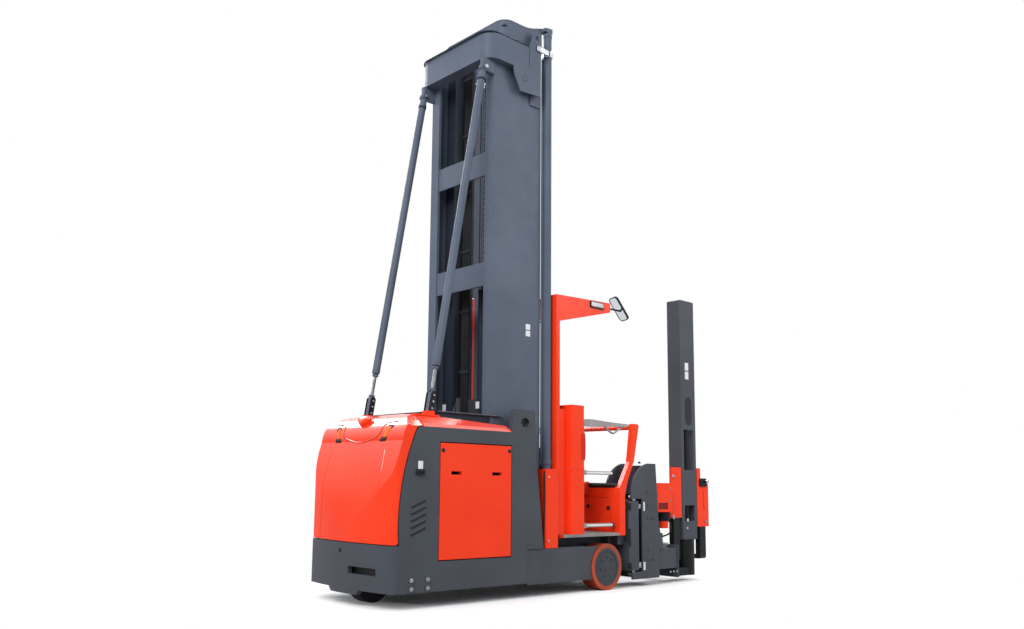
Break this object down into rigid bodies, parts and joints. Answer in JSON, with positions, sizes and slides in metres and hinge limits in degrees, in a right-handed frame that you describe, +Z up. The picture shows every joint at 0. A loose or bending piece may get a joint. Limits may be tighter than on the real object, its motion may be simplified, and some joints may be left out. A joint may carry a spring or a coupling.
{
  "type": "very narrow aisle forklift",
  "caption": "Battery turret truck for very narrow aisles: tall two-stage mast, rising operator cab, side-shifting swivel head with a fork carriage on its own column.",
  "frame": {"origin": "on the floor, under the middle of the bounding box", "axes": "+X forwards to the forks, +Y to the truck's left, +Z up"},
  "size_m": [4.145, 1.116, 5.0803],
  "materials": {
    "orange_paint": "glossy",
    "grey_paint": "satin",
    "polyurethane": "satin",
    "wheel_rubber": "matte",
    "black_paint": "satin",
    "bright_steel": "satin",
    "floor_mat": "matte",
    "plastic_trim": "matte",
    "seat_cover": "satin",
    "light_paint": "satin"
  },
  "bodies": {
    "chassis": {"chassis_base": "grey_paint", "rear_skirt": "grey_paint", "side_panels": "grey_paint", "deck_cover": "grey_paint", "deck_trim": "orange_paint", "stay_bridge": "orange_paint", "support_legs": "grey_paint", "drive_motor": "black_paint", "battery": "black_paint", "fixed_mast": "grey_paint", "mast_cap": "grey_paint", "lift_barrels": "grey_paint", "cylinder_feet": "orange_paint", "stays": "grey_paint"},
    "door_right": {"battery_door_right": "orange_paint"},
    "door_left": {"battery_door_left": "orange_paint"},
    "hood": {"hood": "orange_paint"},
    "load_wheel_right": {"load_hub_right": "grey_paint", "load_tyre_right": "polyurethane"},
    "load_wheel_left": {"load_hub_left": "grey_paint", "load_tyre_left": "polyurethane"},
    "drive_unit": {"drive_turntable": "grey_paint"},
    "drive_wheel": {"drive_wheel": "wheel_rubber"},
    "mast_stage": {"moving_stage": "grey_paint", "stage_cap": "grey_paint", "lift_rods": "bright_steel", "chain_cylinder": "grey_paint"},
    "chain_rod": {"chain_rod": "bright_steel"},
    "cab": {"cab_mast_carriage": "grey_paint", "mast_rollers": "bright_steel", "cab_floor": "floor_mat", "cab_rear_wall": "orange_paint", "cab_rear_posts": "orange_paint", "cab_side_boxes": "orange_paint", "overhead_guard": "orange_paint", "mirrors": "black_paint", "cab_front_wall": "orange_paint", "cab_front_frame": "orange_paint", "control_panel": "plastic_trim", "seat": "seat_cover", "gate_brackets": "light_paint", "traverse_frame": "grey_paint", "traverse_rails": "bright_steel"},
    "traverse": {"traverse_carriage": "grey_paint", "guide_rollers": "bright_steel", "foot_beam": "grey_paint", "pivot_post": "black_paint", "valve_block": "bright_steel", "swivel_drive": "orange_paint", "swivel_motor": "black_paint"},
    "column": {"column": "grey_paint", "fork_cylinder": "black_paint"},
    "fork_carriage": {"fork_carrier": "orange_paint", "forks": "black_paint"},
    "gate_bar_low_right": {"gate_bar_low_right": "light_paint"},
    "gate_bar_mid_right": {"gate_bar_mid_right": "light_paint"},
    "gate_bar_top_right": {"gate_bar_top_right": "light_paint"},
    "gate_bar_low_left": {"gate_bar_low_left": "light_paint"},
    "gate_bar_mid_left": {"gate_bar_mid_left": "light_paint"},
    "gate_bar_top_left": {"gate_bar_top_left": "light_paint"}
  },
  "joints": [
    {"name": "load_wheel_right_spin", "type": "hinge", "parent": "chassis", "child": "load_wheel_right", "pos_m": [0.3525, -0.483, 0.203], "axis": [0, 1, 0], "continuous": true},
    {"name": "load_wheel_left_spin", "type": "hinge", "parent": "chassis", "child": "load_wheel_left", "pos_m": [0.3525, 0.483, 0.203], "axis": [0, 1, 0], "continuous": true},
    {"name": "drive_steer", "type": "hinge", "parent": "chassis", "child": "drive_unit", "pos_m": [-1.8255, 0, 0.165], "axis": [0, 0, 1], "range_deg": [-90, 90]},
    {"name": "drive_wheel_spin", "type": "hinge", "parent": "drive_unit", "child": "drive_wheel", "pos_m": [-1.8255, 0, 0.165], "axis": [0, 1, 0], "continuous": true},
    {"name": "hood_open", "type": "hinge", "parent": "chassis", "child": "hood", "pos_m": [-1.7635, 0, 1.456], "axis": [0, 1, 0], "range_deg": [0, 60]},
    {"name": "battery_door_right_open", "type": "hinge", "parent": "chassis", "child": "door_right", "pos_m": [-1.5965, -0.558, 0.785], "axis": [0, 0, -1], "range_deg": [0, 110]},
    {"name": "battery_door_left_open", "type": "hinge", "parent": "chassis", "child": "door_left", "pos_m": [-1.5965, 0.558, 0.785], "axis": [0, 0, 1], "range_deg": [0, 110]},
    {"name": "mast_lift", "type": "slide", "parent": "chassis", "child": "mast_stage", "axis": [0, 0, 1], "range_m": [0, 3]},
    {"name": "chain_rod_lift", "type": "slide", "parent": "mast_stage", "child": "chain_rod", "axis": [0, 0, 1], "range_m": [0, 1.5]},
    {"name": "cab_lift", "type": "slide", "parent": "mast_stage", "child": "cab", "axis": [0, 0, 1], "range_m": [0, 3]},
    {"name": "head_traverse", "type": "slide", "parent": "cab", "child": "traverse", "axis": [0, 1, 0], "range_m": [0, 0.796]},
    {"name": "head_swivel", "type": "hinge", "parent": "traverse", "child": "column", "pos_m": [1.7425, -0.398, 0.4], "axis": [0, 0, 1], "range_deg": [-180, 0]},
    {"name": "fork_lift", "type": "slide", "parent": "column", "child": "fork_carriage", "axis": [0, 0, 1], "range_m": [0, 1.45]},
    {"name": "gate_low_right_raise", "type": "hinge", "parent": "cab", "child": "gate_bar_low_right", "pos_m": [0.0985, -0.507, 0.567], "axis": [0, -1, 0], "range_deg": [0, 80]},
    {"name": "gate_mid_right_raise", "type": "hinge", "parent": "cab", "child": "gate_bar_mid_right", "pos_m": [0.0985, -0.507, 1.03], "axis": [0, -1, 0], "range_deg": [0, 80]},
    {"name": "gate_top_right_raise", "type": "hinge", "parent": "cab", "child": "gate_bar_top_right", "pos_m": [0.0985, -0.507, 1.474], "axis": [0, -1, 0], "range_deg": [0, 80]},
    {"name": "gate_low_left_raise", "type": "hinge", "parent": "cab", "child": "gate_bar_low_left", "pos_m": [0.0985, 0.507, 0.567], "axis": [0, -1, 0], "range_deg": [0, 80]},
    {"name": "gate_mid_left_raise", "type": "hinge", "parent": "cab", "child": "gate_bar_mid_left", "pos_m": [0.0985, 0.507, 1.03], "axis": [0, -1, 0], "range_deg": [0, 80]},
    {"name": "gate_top_left_raise", "type": "hinge", "parent": "cab", "child": "gate_bar_top_left", "pos_m": [0.0985, 0.507, 1.474], "axis": [0, -1, 0], "range_deg": [0, 80]}
  ],
  "couplings": [
    {"joint": "cab_lift", "follows": "mast_lift", "ratio": 1},
    {"joint": "chain_rod_lift", "follows": "mast_lift", "ratio": 0.5},
    {"joint": "gate_mid_right_raise", "follows": "gate_top_right_raise", "ratio": 1},
    {"joint": "gate_low_right_raise", "follows": "gate_top_right_raise", "ratio": 1},
    {"joint": "gate_mid_left_raise", "follows": "gate_top_left_raise", "ratio": 1},
    {"joint": "gate_low_left_raise", "follows": "gate_top_left_raise", "ratio": 1}
  ]
}
